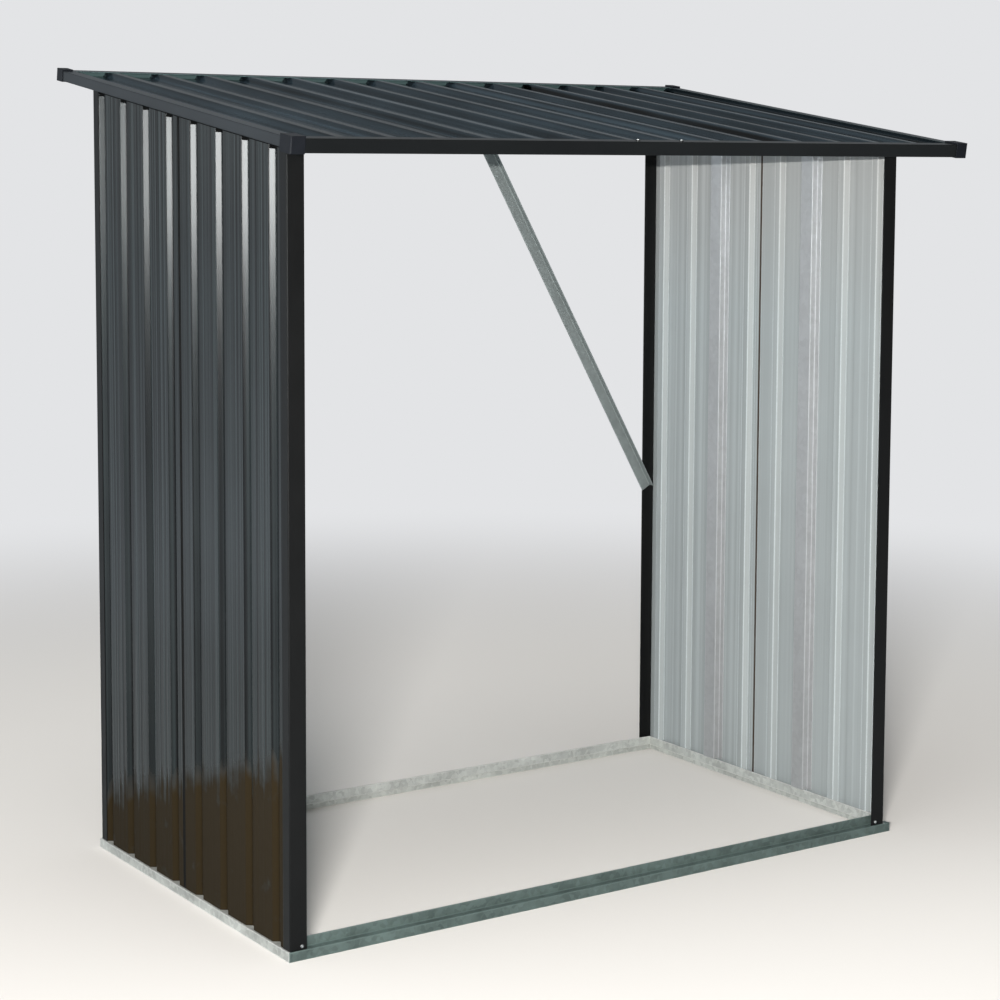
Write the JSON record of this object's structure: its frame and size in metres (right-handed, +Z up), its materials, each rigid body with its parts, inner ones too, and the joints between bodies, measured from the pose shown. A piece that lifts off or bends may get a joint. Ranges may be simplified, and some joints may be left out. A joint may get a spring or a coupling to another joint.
{
  "type": "log store",
  "caption": "Open-fronted and open-backed ribbed steel log store with a lean-to roof that falls toward the front.",
  "frame": {"origin": "on the ground, under the middle of the part's bounding box", "axes": "+Z up, -Y toward the open front, +X to the right as seen from the front"},
  "size_m": [1.5232, 0.9496, 1.5589],
  "materials": {
    "sheet_paint": "satin anthracite coated sheet",
    "dark_paint": "satin near-black coated profile",
    "galvanised": "dull galvanised",
    "cap_plastic": "matt black moulding"
  },
  "bodies": {
    "root": {"back_beam": "dark_paint", "base_rail_back": "galvanised", "base_rail_front": "galvanised", "base_rail_left": "galvanised", "base_rail_right": "galvanised", "brace_back_right": "galvanised", "corner_cap_back_left": "cap_plastic", "corner_cap_back_right": "cap_plastic", "corner_cap_front_left": "cap_plastic", "corner_cap_front_right": "cap_plastic", "corner_post_back_left": "dark_paint", "corner_post_back_right": "dark_paint", "corner_post_front_left": "dark_paint", "corner_post_front_right": "dark_paint", "fascia_front": "dark_paint", "front_beam": "dark_paint", "roof_sheet_left": "sheet_paint", "roof_sheet_middle": "sheet_paint", "roof_sheet_right": "sheet_paint", "roof_trim_back": "dark_paint", "roof_trim_left": "dark_paint", "roof_trim_right": "dark_paint", "wall_sheet_left_back": "sheet_paint", "wall_sheet_left_front": "sheet_paint", "wall_sheet_right_back": "sheet_paint", "wall_sheet_right_front": "sheet_paint", "wall_stiffener_left_back": "galvanised", "wall_stiffener_left_front": "galvanised", "wall_stiffener_right_back": "galvanised", "wall_stiffener_right_front": "galvanised", "wall_top_rail_left": "dark_paint", "wall_top_rail_right": "dark_paint"}
  },
  "joints": []
}
